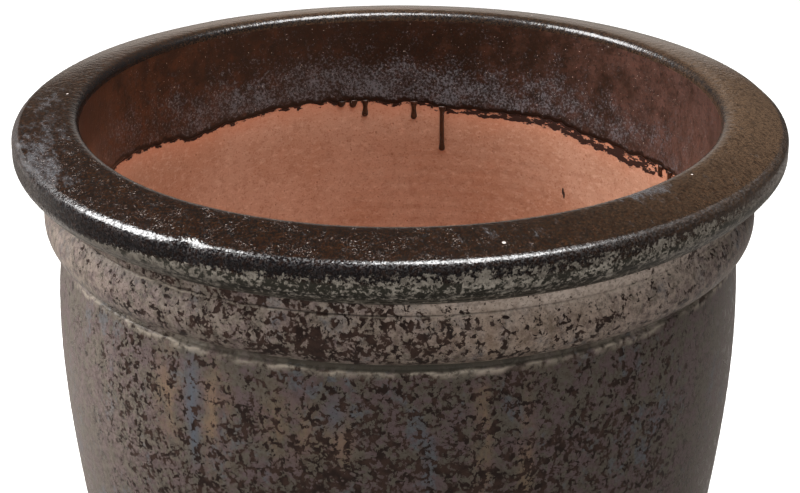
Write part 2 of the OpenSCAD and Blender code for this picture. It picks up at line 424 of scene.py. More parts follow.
def startTree(owner, coordinates="Object"):
    # an empty tree on the bench, with the coordinates at which its patterns are read
    owner.use_nodes = True
    bench["tree"] = owner.node_tree
    bench["tree"].nodes.clear()
    bench["where"] = put("TexCoord", {}, coordinates)
    return owner


def newMaterial(name):
    return startTree(bpy.data.materials.new(name))


def maths(operation, a, b=0.0, c=0.0):
    return put("Math", {0: a, 1: b, 2: c}, operation=operation)


def times(a, b):
    return maths("MULTIPLY", a, b)


def raised(start, *parts):
    # start + share x amount, for each share and the amount that follows it
    for share, amount in zip(parts[::2], parts[1::2]):
        start = maths("MULTIPLY_ADD", share, amount, start)
    return start


def noise(scale, detail=3.0, rough=0.55, twist=0.0, where=None):
    where = bench["where"] if where is None else where
    sockets = {"Vector": where, "Scale": scale, "Detail": detail, "Roughness": rough, "Distortion": twist}
    return put("TexNoise", sockets)


def cells(scale):
    # distance to the nearest of scattered points, so many to a metre
    return put("TexVoronoi", {"Vector": bench["where"], "Scale": scale}, "Distance")


def spread(scale, turned=0.0):
    # coordinates turned about Z, then drawn out so that a pattern read there grows by these shares
    sockets = {"Vector": bench["where"], "Rotation": (0, 0, turned), "Scale": scale}
    return put("Mapping", sockets, vector_type="TEXTURE")


def steps(value, low, high):
    # 0 below low and 1 above high, or the other way round where low is the higher
    sockets = {"Value": value, "From Min": low, "From Max": high}
    return put("MapRange", sockets, interpolation_type="SMOOTHSTEP")


def window(value, first, second):
    # 1 between two soft ends, each given as the values where it is 0 and where it is 1
    return times(steps(value, *first), steps(value, *second))


def spot(place, size):
    # 1 inside a soft oval round a place, 0 outside it
    away = put("VectorMath", {0: bench["where"], 1: place}, operation="SUBTRACT")
    away = put("VectorMath", {0: away, 1: size}, operation="DIVIDE")
    return steps(put("VectorMath", {0: away}, 1, operation="LENGTH"), 1.15, 0.85)


def linear(red, green, blue):
    # a screen colour from 0 to 255, as the linear values that the shader wants
    share = np.array([red, green, blue]) / 255
    values = np.where(share <= 0.04045, share / 12.92, ((share + 0.055) / 1.055) ** 2.4)
    return (*values, 1.0)


def blend(share, first, second):
    # both are sockets or screen colours
    first, second = (linear(*colour) if isinstance(colour, tuple) else colour for colour in (first, second))
    return put("Mix", {0: share, 6: first, 7: second}, 2, data_type="RGBA")


def coats(base, *layers):
    # colours laid over the base one after the other, each as thick as its shares multiplied say
    for colour, share, *others in layers:
        for other in others:
            share = times(share, other)
        base = blend(share, base, colour)
    return base


def between(share, first, second):
    return put("Mix", {0: share, 2: first, 3: second}, data_type="FLOAT")


def painted(name):
    return put("Attribute", {}, "Fac", attribute_name=name)


def shaded(sockets, height, depth):
    # the surface shader, with relief from a height
    sockets["Normal"] = put("Bump", {"Height": height, "Distance": depth, "Strength": 1.0})
    put("OutputMaterial", {"Surface": put("BsdfPrincipled", sockets)})


# Pale matt crystals grew in patches over the dark glossy glaze; this look is shared by body and rim.
# Colours are screen colours from 0 to 255, and patterns are given as so many to a metre
filmLook = {
    "patches": (160, 6, 0.70, 0.4, 2.8),    # to a metre, detail, roughness, twist, weight
    "lobes": (330, 0.45),               # small round lobes to a metre, weight
    "lobeReach": 0.45,
    "clusters": (34, 0.75),             # to a metre, weight
    "middle": 0.16,                     # moves the share of film everywhere
    "brink": 0.03,                      # how soft its edges are
    "tones": ((94, 80, 80), (90, 84, 75), (88, 92, 98)),        # mauve, green and blue greys
    "glaze": (60, 45, 39),
    "glazeDeep": (40, 30, 27),
}


def crystalFilm(look):
    # a point is in the film where patches, lobes, clusters and painted cover together rise above zero
    *grain, weight = look["patches"]
    grown = raised(look["middle"] - 0.5 * weight, noise(*grain), weight)
    scale, weight = look["lobes"]
    away = cells(scale)
    tone = put("SeparateColor", {"Color": away.node.outputs["Color"]}, 0)
    grown = raised(grown, maths("SUBTRACT", look["lobeReach"], away), weight)
    scale, weight = look["clusters"]
    grown = maths("ADD", grown, raised(-0.5 * weight, noise(scale, 3, 0.6), weight))
    return steps(maths("ADD", grown, painted("cover")), -look["brink"], look["brink"]), tone


def filmColour(tone, look):
    # the greys drift slowly and differ a little from lobe to lobe
    mauve, green, blue = look["tones"]
    grey = blend(steps(raised(noise(60, 4, 0.65), tone, 0.18), 0.50, 0.66), mauve, green)
    patches = raised(noise(42, 3, 0.6, where=spread((1, 1, 2))), tone, 0.15)
    return coats(grey, (blue, steps(patches, 0.64, 0.76), 0.7))


bodyLook = {
    "tan": (130, 106, 84),
    "pale": (174, 157, 144),            # film on the collar, and painted light on the strip and the left side
    "chalk": (204, 188, 175),           # painted light on the strip above it, which lies in the lip's shade
    "slate": (86, 91, 99),
    # pale where the glaze wore thin on ledges, and painted highlight
    "ridge": (176, 164, 148),
    # dark glaze in the scored lines, with painted shade
    "line": (24, 18, 15),
    "grooved": (70, 67, 59),            # greenish film that gathered in the groove
    "filmRough": 0.46,
    "glazeRough": 0.30,
    "relief": 0.16 * mm,
}


def makeBodyGlaze(look, film):
    # the greys of the film, paler or tinted where painted, with painted light on the strip and the left side,
    # over the two dark tones of the glaze
    material = newMaterial("speckled_glaze")
    grown, tone = crystalFilm(film)
    tall = noise(90, 3, 0.6, where=spread((1, 1, 2)))
    grey = coats(
        filmColour(tone, film),
        # paler film on the collar, with painted light on the strip and the left side
        (look["pale"], painted("pale"), steps(noise(130, 5, 0.75), 0.30, 0.60)),
        # painted light on the strip in the lip's shade
        (look["chalk"], painted("chalk")),
        (film["glaze"], steps(noise(330, 4, 0.7), 0.42, 0.66), 0.5),
        (look["tan"], painted("tan"), steps(tall, 0.3, 0.6)),
        (look["slate"], painted("slate")))
    base = coats(
        blend(steps(noise(120), 0.4, 0.62), film["glaze"], film["glazeDeep"]),
        (grey, grown),
        (look["grooved"], painted("grooved")),
        (film["glazeDeep"], steps(cells(430), 0.20, 0.12), 0.8),        # tiny pinholes in the film
        # pale lines: glaze worn thin and painted highlight on the ledges
        (look["ridge"], painted("ridge"), steps(noise(110, 4, 0.65), 0.38, 0.56), 0.85),
        # score lines: dark glaze and painted shade
        (look["line"], painted("line"), steps(noise(70, 3, 0.6), 0.28, 0.46), 0.9))
    rough = between(grown, look["glazeRough"], look["filmRough"])
    height = raised(times(grown, 0.5), noise(100, 3, 0.6), 1.2)
    shaded({"Base Color": base, "Roughness": rough, "IOR": 1.5, "Specular IOR Level": 0.42},
           height, look["relief"])
    return material


lipLook = {
    "brown": (37, 19, 9),
    "brownWarm": (47, 26, 12),
    "brownDeep": (16, 11, 9),
    "ink": (17, 16, 18),                # the polished edges, with a painted bluish reflection of the dark surroundings
    "flake": (92, 88, 90),
    # pale scratches and grit, partly painted glints
    "fleck": (200, 190, 186),
    "rust": (67, 43, 28),
    "grain": (90, 68, 49),
    "tawny": (97, 76, 58),              # paler glaze at the right, and a painted reflection on the far rim
    # blue-grey dust, partly a painted reflection
    "dust": (90, 90, 93),
    "underGlaze": (46, 44, 37),
    "underFilm": (118, 111, 101),       # satin skin at the left
    "underDim": (88, 81, 73),
    "underPale": (172, 164, 152),       # islands at the front
    # pale where the glaze wore thin on ledges, and painted highlight
    "ridge": (150, 142, 126),
    # dark glaze in the scored lines, with painted shade
    "line": (22, 20, 17),
    "scratches": [(0.5, 1000), (2.2, 1200), (1.3, 1400), (2.8, 1100)],      # direction in radians, to a metre
    # grains of grit: angle, distance from the axis, radius
    "grit": [(-93.3, 0.2955, 1.1 * mm), (-75.5, 0.283, 1.3 * mm), (174.6, 0.262, 1.0 * mm),
             (-36.8, 0.262, 1.0 * mm), (64.0, 0.270, 1.1 * mm), (112.0, 0.282, 0.9 * mm)],
    "rough": 0.13,
    "edgeRough": 0.10,
    "filmRough": 0.44,
    "relief": 0.34 * mm,
}

# Under the lip the same film grew in smaller patches
underLook = {**filmLook, "patches": (270, 6, 0.76, 0.1, 3.4), "lobes": (420, 0.15), "clusters": (60, 1.2)}


def makeLipGlaze(look, film):
    # coats of brown (with painted reflection on the far rim), grain and dust (partly painted reflection),
    # then scratches (partly painted glints), polished edges (with painted reflection), the film below, scored
    # lines (with painted shade), pale lines (with painted highlight) and grit
    material = newMaterial("lip_glaze")
    mottle, grain, fine = noise(380, 5, 0.8), noise(620, 5, 0.85), noise(540, 4, 0.8)
    tawny = steps(noise(260, 5, 0.8, where=spread((1, 2.2, 1), 0.4)), 0.63, 0.49)
    streaks = noise(150, 6, 0.8, where=spread((2.4, 1, 1), -1.13))
    dust = times(steps(raised(streaks, painted("dust"), 0.24), 0.58, 0.76), steps(grain, 0.64, 0.46))
    # short pale scratches in clusters, partly painted glints
    flecked = painted("flecked")
    found, *others = (noise(scale, 1, 0.5, where=spread((2.3, 1, 1), turned))
                      for turned, scale in look["scratches"])
    for other in others:
        found = maths("MAXIMUM", found, other)
    cluster = steps(noise(90, 4, 0.7), 0.40, 0.64)
    above = maths("SUBTRACT", found, raised(0.785, times(cluster, flecked), -0.125))
    fleck = times(times(cluster, steps(grain, 0.54, 0.66)), 0.12)
    fleck = raised(fleck, steps(above, 0.01, 0.05), 0.14, steps(above, 0.045, 0.08), 0.40)
    # underneath, islands of film on a greenish skin
    grown, tone = crystalFilm(film)
    mid = steps(noise(240, 5, 0.75), 0.42, 0.62)
    satin = blend(mid, look["underFilm"], look["underDim"])
    grey = blend(painted("satin"), satin, blend(mid, look["underPale"], look["underFilm"]))
    shine, outer, under = painted("shine"), painted("edge"), painted("under")
    grit = []
    for angle, radius, size in look["grit"]:
        place = (radius * np.cos(np.radians(angle)), radius * np.sin(np.radians(angle)), potHeight - 2 * mm)
        grit.append((look["fleck"], spot(place, (size, size, 6 * mm))))
    base = coats(
        blend(steps(noise(40, 5, 0.7), 0.46, 0.62), look["brown"], look["brownWarm"]),
        (look["brownDeep"], steps(mottle, 0.44, 0.54)),
        (look["rust"], steps(grain, 0.55, 0.64), raised(0.6, painted("tawny"), -0.55)),
        # paler glaze at the right, and a painted reflection on the far rim
        (look["tawny"], painted("tawny"), raised(0.36, tawny, 0.55)),
        (look["brownDeep"], steps(fine, 0.52, 0.43), 0.60),
        (look["grain"], steps(fine, 0.55, 0.66), 0.18),
        # blue-grey dust, partly a painted reflection
        (look["dust"], dust, 0.64),
        # pale scratches, partly painted glints
        (look["fleck"], fleck, flecked),
        # the polished edges are nearly black: dark glaze with a painted reflection of the dark surroundings
        (look["ink"], shine, raised(0.45, steps(mottle, 0.40, 0.56), 0.45)),
        (look["flake"], outer, steps(noise(640, 4, 0.75), 0.54, 0.66), 0.36),
        # underneath: the greenish skin, or on the polished edge its dark glaze and painted reflection
        (blend(shine, look["underGlaze"], look["ink"]), under),
        (grey, grown),
        # score lines: dark glaze and painted shade
        (look["line"], painted("line"), steps(noise(70, 3, 0.6), 0.28, 0.46), 0.9),
        # pale lines: glaze worn thin and painted highlight on the ledges
        (look["ridge"], painted("ridge"), steps(noise(110, 4, 0.65), 0.40, 0.58), 0.7),
        *grit)
    mouth, dull = painted("mouth"), maths("MAXIMUM", maths("SUBTRACT", outer, shine), 0.0)
    rough = raised(between(shine, look["rough"], look["edgeRough"]), mouth, 0.17, dull, 0.34)
    rough = between(maths("MAXIMUM", grown, under), rough, look["filmRough"])
    rough = raised(rough, dust, 0.16, times(outer, steps(noise(560, 3, 0.7), 0.49, 0.57)), 0.40)
    height = raised(noise(230, 2, 0.5), noise(620, 1, 0.5), 0.30, grown, 0.14,
                    times(mouth, noise(210, 2, 0.5)), 1.1)
    shaded({"Base Color": base, "Roughness": rough, "IOR": 1.55}, height, look["relief"])
    return material


innerLook = {
    "glaze": (37, 24, 17),
    "thin": (72, 41, 25),
    "plum": (82, 58, 51),               # the thin glaze at the right
    "spots": (30, 20, 16),
    "specks": (101, 101, 105),
    "grains": (190, 178, 168),
    "edge": (26, 15, 11),
    "rough": 0.28,
    "relief": 0.2 * mm,
}


def makeInnerGlaze(look):
    # thick and thin glaze, spots, bluish specks that are denser low on the far wall, and a dark brushed edge
    material = newMaterial("inner_glaze")
    thin = steps(raised(noise(55, 5, 0.7), painted("thin"), 0.34), 0.46, 0.92)
    crowd = raised(times(noise(60, 3, 0.6), 0.32), painted("dust"), 0.15)
    base = coats(
        blend(thin, look["glaze"], blend(painted("plum"), look["thin"], look["plum"])),
        (look["spots"], steps(noise(260, 5, 0.8), 0.53, 0.60), 0.7),
        (look["specks"], steps(maths("ADD", noise(460, 5, 0.8), crowd), 0.74, 0.92), 0.85),
        (look["grains"], steps(noise(640, 1, 0.5), 0.745, 0.78), 0.7),
        (look["edge"], steps(raised(noise(260, 4, 0.7), painted("brink"), 0.5), 0.68, 0.80)))
    shaded({"Base Color": base, "Roughness": look["rough"], "IOR": 1.5, "Specular IOR Level": 0.35},
           noise(300, 3, 0.6), look["relief"])
    return material


clayLook = {
    "clay": (190, 144, 119),
    "clayDeep": (180, 130, 103),
    "clayPale": (212, 172, 148),
    "grit": (150, 98, 72),
    "warm": (196, 124, 92),
    "stain": (50, 32, 27),
    "rough": 0.85,
    "stainRough": 0.4,
    "relief": 0.3 * mm,
    "tick": (53.6, 152 * mm, 1.0 * mm, 3.4 * mm),   # fallen glaze: angle, depth, half width, half length
}


def makeClay(look):
    # drifting tones with lines, patches, sand and pits, then glaze brushed in broken strokes below the band
    material = newMaterial("bare_terracotta")
    lines = noise(300, 5, 0.75, where=spread((2, 2, 1)))
    sand = noise(520, 4, 0.75)
    pit = steps(cells(95), 0.13, 0.05)
    stroke = noise(260, 4, 0.7, where=spread((2.2, 2.2, 1)))
    stroke = steps(raised(stroke, painted("stain"), 0.42), 0.76, 0.81)
    angle, depth, half, tall = look["tick"]
    for share in (-0.5, 0.5):
        seat = handMade(onLine(placeAt(potHeight - depth, inside=True))[0], np.radians(angle - 0.3 * share),
                        potHeight - depth - share * tall)
        stroke = maths("MAXIMUM", stroke, spot(tuple(seat), (half, half, tall)))
    base = coats(
        blend(steps(noise(11, 4, 0.55), 0.38, 0.62), look["clay"], look["clayDeep"]),
        (look["clayPale"], steps(lines, 0.50, 0.66), 0.55),
        (look["grit"], steps(noise(120, 6, 0.8), 0.50, 0.62), 0.35),
        (look["grit"], steps(sand, 0.54, 0.66), 0.75),
        (look["grit"], pit, 0.5),
        (look["warm"], painted("warmth"), 0.55),
        (look["stain"], stroke))
    height = raised(times(lines, 0.6), sand, 0.35, pit, -0.8, stroke, 0.8)
    rough = between(stroke, look["rough"], look["stainRough"])
    shaded({"Base Color": base, "Roughness": rough, "Specular IOR Level": 0.25}, height, look["relief"])
    return material


bodyGlaze = makeBodyGlaze(bodyLook, filmLook)
lipGlaze = makeLipGlaze(lipLook, underLook)
innerGlaze = makeInnerGlaze(innerLook)
clay = makeClay(clayLook)
print("materials made")

# The glaze band inside: its lower edge, as depth below the rim in mm at angles chosen round the mouth
innerBand = {
    "edge": [(0, 90), (22, 93), (45, 95), (58, 84), (73, 88), (90, 82), (106, 79), (122, 82), (135, 91),
             (150, 81), (163, 80), (190, 86), (230, 82), (270, 88), (310, 84), (340, 92)],
    "blend": 7.5,           # degrees over which the depths run into each other
    "ragged": 0.8 * mm,     # how far the brushed edge strays
    "roll": 4 * mm,         # length over which it thins out
    "columns": 640,
    "spacing": 1.3 * mm,
}


def bandEdge(angle):
    # height of the band's lower edge: the chosen depths joined smoothly, plus a ragged stray
    centres, depths = np.array(innerBand["edge"], float).T
    weights = near(angle[:, None], centres[None, :], innerBand["blend"])
    depth = (weights * depths).sum(axis=1) / weights.sum(axis=1)
    return potHeight - depth * mm + innerBand["ragged"] * wander(angle, 25, 150, 3)


# Outer glaze

outerShape = {
    "columns": 440,
    "bodySpacing": 3.8 * mm,
    "collarSpacing": 1.4 * mm,
    "creaseSpacing": 0.45 * mm,
    "creaseReach": 3 * mm,      # the finer spacing holds this far on both sides of a crease
    "edgeStray": 2.6 * mm,      # how far its lower edge strays up and down
    "edgeRoll": 4 * mm,         # length over which the edge thins out
    "slideReach": 40 * mm,      # and the rows slide with it
}


def rowsPast(first, last, shape, creases):
    # places from first to last whose spacing shrinks near the creases: equal steps of the summed density
    fine = np.arange(first, last, outline["step"])
    close = np.abs(fine[:, None] - np.array(creases)).min(axis=1) < shape["creaseReach"]
    density = np.cumsum(outline["step"] / np.where(close, shape["creaseSpacing"], shape["collarSpacing"]))
    return np.r_[np.interp(np.arange(density[0], density[-1]), density, fine), last]


def makeOuterGlaze(shape):
    # rows run up the outside of the skin and back down under it; the lowest ones slide with the stray edge
    start, finish, groove = placeAt(bareHeight), marks["lip"], marks["groove"]
    angle = roundAngles(shape["columns"])
    roll = start + shape["edgeRoll"] * (1 - np.cos(np.linspace(0, np.pi / 2, 7)))
    ledge = groove - 4 * mm
    creases = [groove, groove + 3 * mm, marks["collar"], marks["strip"], finish]
    middle = stretch(roll[-1], ledge, shape["bodySpacing"])[1:-1]
    front = np.r_[roll, middle, rowsPast(ledge, finish, shape, creases)]
    place, lift = skin(front, rounded(front - start, shape["edgeRoll"]), 8)
    stray = shape["edgeStray"] * wander(angle, 3, 60, 11)
    slid = place[:, None] + stray * (1 - eased(place[:, None], start, start + shape["slideReach"]))
    radius, height = onLine(slid, lift[:, None])
    sharp = [len(front) - 1, len(front), len(place) - 1]
    piece = surface("outerGlaze", handMade(radius, angle, height), sharp)
    return piece, *np.broadcast_arrays(angle, slid, height)


# Where the glaze broke differently: angle, half width, depth below the rim and half height in mm, strength
bodyPaint = {
    "cover": [(-30, 20, 190, 70, 0.06), (-152, 12, 190, 70, 0.10), (-96, 9, 80, 14, -0.17),
              (-66, 17, 52, 6, 0.40), (-104, 16, 52, 6, -0.24), (-58, 10, 72, 16, 0.05),
              (-120, 4, 150, 40, 0.10), (-103, 12, 82, 14, -0.05), (-94, 27, 200, 40, -0.17),
              (-150, 14, 68, 16, 0.12), (90, 60, 70, 16, 0.10)],
    "tan": [(-74, 13, 72, 20, 0.40), (-98.6, 1.6, 156, 14, 0.6), (-104, 1.5, 150, 16, 0.45),
            (-108.5, 1.5, 148, 18, 0.45), (-77.2, 0.9, 150, 42, 0.7), (-70.4, 0.8, 178, 30, 0.7),
            (-118.7, 1.8, 150, 26, 0.8), (-127.5, 1.8, 146, 24, 0.7), (40, 3, 150, 50, 0.6),
            (115, 8, 120, 30, 0.5)],
    # painted light: the strip in the lip's shade, and the lit left side of the body and collar
    "palest": [(-66, 17, 52, 6, 0.5), (-128, 10, 70, 20, 0.05), (-142, 12, 190, 70, 0.24),
               (-155, 12, 70, 20, 0.24)],
    # painted light on the strip, which lies in the lip's shade
    "chalk": [(-66, 16, 52, 6, 0.85)],
    "slate": [(-122.8, 0.85, 140, 22, 0.9), (-122.4, 0.55, 176, 12, 0.8), (-99.2, 1.0, 136, 9, 0.6),
              (75, 1, 130, 30, 0.7)],
    # on the collar: angle, half width, strength
    "pale": [(-68, 24, 0.66), (-125, 18, 0.05), (-94, 9, -0.20)],
    "evenPale": 0.30,                   # all round the collar
    # pale lines, worn thin and painted highlight on the ledges: mark, distance past it, half width, strength
    "ridges": [("strip", -0.6 * mm, 0.45 * mm, 0.8), ("groove", -3.4 * mm, 0.7 * mm, 1.0),
               ("collar", 1.5 * mm, 0.7 * mm, 0.7)],
    "front": (-88, 20, 26),             # angle and half widths of the stretch where the groove is clearest
    "inked": (-100, 26, 0.15),          # the same for the scored lines, and their strength elsewhere
}


def inked(angle, place, name, past, half):
    # strength of a dark score line with painted shade, at a distance past a mark, clear at the front left and
    # faint elsewhere
    centre, wide, least = bodyPaint["inked"]
    return (least + (1 - least) * near(angle, centre, wide)) * bump(place - marks[name] - past, half)


def wavering(angle, sway, level, seed):
    # how far the pale lines, worn and painted highlight, waver round the pot, and how strongly they show
    wave = sway * wander(angle[0], 20, 140, seed)
    return wave, np.clip(level + 0.4 * wander(angle[0], 6, 60, seed + 1), 0, 1)


def worn(place, lines, wave):
    # sum of soft lines at distances past the marks
    return sum(strength * bump(place - marks[name] - past + wave, half)
               for name, past, half, strength in lines)


def paintBody(piece, angle, place, height):
    # film, tints and painted light in ovals; pale ridges that waver beside the collar, the strip and the
    # groove, worn thin and painted highlight
    patches = {name: ovals(angle, (potHeight - height) / mm, bodyPaint[name])
               for name in ("cover", "tan", "palest", "chalk", "slate")}
    pastGroove, pastCollar = place - marks["groove"], place - marks["collar"]
    centre, narrow, wide = bodyPaint["front"]
    frontal = 0.2 + 0.6 * near(angle, centre, narrow)
    gathered = eased(pastGroove, -3.2 * mm, -1.6 * mm) * (1 - eased(pastCollar, -2 * mm, 0))
    onCollar = eased(pastCollar, -3 * mm, 3 * mm) * (bodyPaint["evenPale"] + around(angle, bodyPaint["pale"]))
    score = outline["scores"][0][1]
    # painted shade in the score below the strip and in the crease under the collar
    lines = inked(angle, place, "strip", score, 0.7 * mm)
    lines = lines + 0.6 * inked(angle, place, "collar", -1.0 * mm, 1.2 * mm)
    wave, strength = wavering(angle, 0.55 * mm, 0.75, 31)
    # painted light laid pale in the groove at the sides, and a painted highlight on the ledge below it at the
    # front
    ridges = worn(place, bodyPaint["ridges"], wave) + 0.5 * gathered * (1 - near(angle, centre, wide))
    ridges = ridges + 0.5 * near(angle, -92, 12) * bump(pastGroove + 3.8 * mm + wave, 1.1 * mm)
    # pale holds the collar's paler film and painted light; the strip's light is painted too
    paint(piece, tan=patches["tan"], slate=patches["slate"], chalk=patches["chalk"],
          cover=patches["cover"] - 0.5 * bump(pastGroove - 5 * mm, 4 * mm) * frontal,
          pale=onCollar + patches["palest"], grooved=gathered * frontal, line=lines, ridge=strength * ridges)


outerPiece, angle, place, height = makeOuterGlaze(outerShape)
paintBody(outerPiece, angle, place, height)
finished(outerPiece, bodyGlaze, "speckled_glaze", "outer_glaze")

# Lip glaze

lipShape = {
    "columns": 640,
    "spacing": 1.0 * mm,
    "reachInside": 2 * mm,      # how far it runs past the mouth's rounding
}


def makeLip(shape):
    # rows run out under the lip, over the rim and into the mouth, then back under the skin
    angle = roundAngles(shape["columns"])
    front = stretch(marks["lip"], marks["throat"] + shape["reachInside"], shape["spacing"])
    place, lift = skin(front, np.ones(len(front)), 4)
    radius, height = onLine(place[:, None], lift[:, None])
    sharp = [0, len(front) - 1, len(front), len(place) - 1]
    piece = surface("lipGlaze", handMade(radius, angle, height), sharp)
    return piece, *np.broadcast_arrays(angle, place[:, None])


# How the rim's glaze changes round the pot: angle, half width in degrees, strength
lipPaint = {
    "islands": [(-84, 14, 0.12), (-62, 20, 0.04), (-38, 18, 0.05), (-136, 13, 0.50), (-158, 14, -0.4),
                (60, 60, 0.3)],
    "evenIslands": -0.34,
    # here how far up they reach, in mm
    "higher": [(-62, 30, 7.5), (-102, 16, 2.5), (-172, 24, -17), (165, 20, -8)],
    # paler glaze at the right; on the far rim a painted reflection
    "tawny": [(4, 34, 1.0), (102, 22, 0.7), (150, 24, 0.12)],
    "satin": [(-148, 26, 1.0), (-30, 16, 0.9), (180, 30, 0.8), (0, 20, 0.9), (90, 60, 0.9)],
    "dull": [(-40, 20, 0.65), (-176, 17, 1.0)],     # where the outer edge is less polished
    # where pale scratches cluster, with painted glints
    "flecked": [(-120, 26, 1.0), (-92, 22, 0.55), (-150, 16, 0.8), (120, 30, 0.6)],
    # blue-grey dust, partly a painted reflection: angle, half width, distance from the axis and half width
    # there in mm, strength
    "dust": [(-163, 8, 288, 9, 0.65), (-168, 7, 268, 9, 0.5), (-151, 5, 287, 7, 0.7), (176, 4, 276, 8, 0.6),
             (-48, 3.4, 258, 6, 1.2), (-75, 5, 272, 8, 0.3), (100, 14, 275, 12, 0.35), (30, 8, 280, 10, 0.3)],
    "ridges": [("lip", 17.5 * mm, 0.7 * mm, 1.0), ("lip", 24 * mm, 0.7 * mm, 0.6)],     # as on the body
}


def paintLip(piece, angle, place):
    # rise is the distance up and inwards from the rim's widest place; what lies below it counts as underneath
    rise = place - marks["shoulder"]
    higher = around(angle, lipPaint["higher"]) * mm
    lower = np.minimum(higher, 0)
    under = 1 - eased(rise - lower, 0, 5 * mm)
    islands = lipPaint["evenIslands"] + around(angle, lipPaint["islands"])
    islands = islands - 1.4 * eased(rise - higher, 0, 11 * mm) - 0.12 * eased(-rise, 8 * mm, 14 * mm)
    edge = eased(rise - lower, 2 * mm, 6 * mm) * (1 - eased(place - marks["face"], -0.5 * mm, 1.5 * mm))
    mouth = bump(place - marks["throat"] + 3 * mm, 3.5 * mm)
    wave, strength = wavering(angle, 0.5 * mm, 0.5, 33)
    dust = np.clip(ovals(angle, onLine(place)[0] / mm, lipPaint["dust"]), 0, 1) * (1 - under)
    # painted shade in the lip's scores
    lines = sum(inked(angle, place, name, past, 0.9 * mm)
                for name, past, cut, half in outline["scores"] if name == "lip")
    paint(piece, under=under, cover=islands, edge=edge, mouth=mouth, dust=dust, line=lines,
          ridge=strength * worn(place, lipPaint["ridges"], wave),
          satin=(1 - around(angle, lipPaint["satin"])) * (1 - 0.7 * eased(rise, -2 * mm, 6 * mm)),
          shine=edge * (1 - around(angle, lipPaint["dull"])) + mouth,
          tawny=around(angle, lipPaint["tawny"]), flecked=around(angle, lipPaint["flecked"]))


lipPiece, angle, place = makeLip(lipShape)
paintLip(lipPiece, angle, place)
finished(lipPiece, lipGlaze, "lip_glaze", "lip_glaze")


# Inner glaze

def makeInner(shape):
    # rows run down the wall from the mouth to the brushed edge and back up under the skin
    start = marks["throat"] + lipShape["reachInside"]
    angle = roundAngles(shape["columns"])
    edge = placeAt(bandEdge(angle), inside=True)
    share = np.linspace(0, 1, int((marks["inside"] - start) / shape["spacing"]))
    front = start + share[:, None] * (edge - start)
    place, lift = skin(front, rounded(edge - front, shape["roll"]), 4)
    radius, height = onLine(place, lift)
    piece = surface("innerGlaze", handMade(radius, angle, height), [0, len(front), len(place) - 1])
    return piece, *np.broadcast_arrays(angle, edge - place)


innerPiece, angle, aboveEdge = makeInner(innerBand)
far = near(angle, 92, 42)       # the far wall, as the camera sees it
paint(innerPiece, thin=1 - far, dust=eased(60 * mm - aboveEdge, 0, 40 * mm) * (0.3 + 0.7 * far),
      brink=1 - eased(aboveEdge, 0.5 * mm, 8 * mm), plum=near(angle, 20, 36))
finished(innerPiece, innerGlaze, "inner_glaze", "inner_glaze")

# Runs of glaze

runs = {
    "angles": [22.8, 26.4, 80.9, 86.9, 97.1, 99.6, 102.1],
    "lengths": [19, 20, 46, 16, 13, 4, 3],      # below the band, in mm
    "width": 4.6 * mm,
    "out": 1.8 * mm,
    "sunk": 0.3 * mm,                           # how far its back lies in the wall
    "flare": (0.55, 1 * mm, 2.2 * mm),          # where a run leaves the band: strength, depth, half height
    "bead": (0.38, 3 * mm, 2.4 * mm),           # at its end, the same
    "neck": 0.86,                               # share of the width in between
    "sway": 0.5 * mm,
    "rows": 60,
    "columns": 20,
}


def makeRuns(shape):
    # a half-round section carried down the wall: wide where it leaves the band, narrow, then a bead
    down = np.linspace(0, 1, shape["rows"])[:, None]
    ring = roundAngles(shape["columns"])[None, :]
    half = 0.5 * shape["width"]
    flare, flareDepth, flareTall = shape["flare"]
    bead, beadHeight, beadTall = shape["bead"]
    grids = []
    for number, (centre, length) in enumerate(zip(shape["angles"], shape["lengths"])):
        centre = np.radians(centre)
        highest = bandEdge(np.array([centre]))[0] + 1 * mm
        size = highest - (bandHeight - length * mm)
        left = size * (1 - down)                    # what is left to the tip
        width = half * (shape["neck"] + flare * bump(left - size + flareDepth, flareTall)
                        + bead * bump(left - beadHeight, beadTall))
        tip = rounded(left, 1.1 * half)
        across = width * tip * np.sin(ring) + shape["sway"] * np.sin(3 * down + number) * down
        thick = np.where(np.cos(ring) > 0, shape["out"], shape["sunk"])
        outward = np.cos(ring) * thick * tip * (width / half) ** 0.5
        wallRadius, wallHeight = onLine(placeAt(highest - size * down + 0 * ring, inside=True))
        grids.append(handMade(wallRadius - outward, centre + across / wallRadius, wallHeight))
    return np.concatenate(grids)


runPiece = surface("glazeDrips", makeRuns(runs), tubes=len(runs["angles"]))
shell = bmesh.new()         # closes the ends of the tubes
shell.from_mesh(runPiece.data)
bmesh.ops.remove_doubles(shell, verts=shell.verts, dist=0.01 * mm)
bmesh.ops.holes_fill(shell, edges=shell.edges)
bmesh.ops.recalc_face_normals(shell, faces=shell.faces)
shell.to_mesh(runPiece.data)
shell.free()
runPiece.data.shade_smooth()
evenly = np.ones(len(runPiece.data.vertices))
paint(runPiece, brink=0.3 * evenly, thin=0.6 * evenly)
finished(runPiece, innerGlaze, "inner_glaze", "glaze_drips")

# Clay

clayShape = {
    "columns": 560,
    "spacing": 2.4 * mm,
    "fineSpacing": 0.9 * mm,    # near the brushed edge
    "underGlaze": 5 * mm,       # spacing where the glaze hides the clay
    "sunk": 1.0 * mm,           # how far the hidden face stands back under the glaze
    # brushed below the band: first and last angle, depth, half width
    "stroke": (26, 84, 6.5 * mm, 1.8 * mm),
}


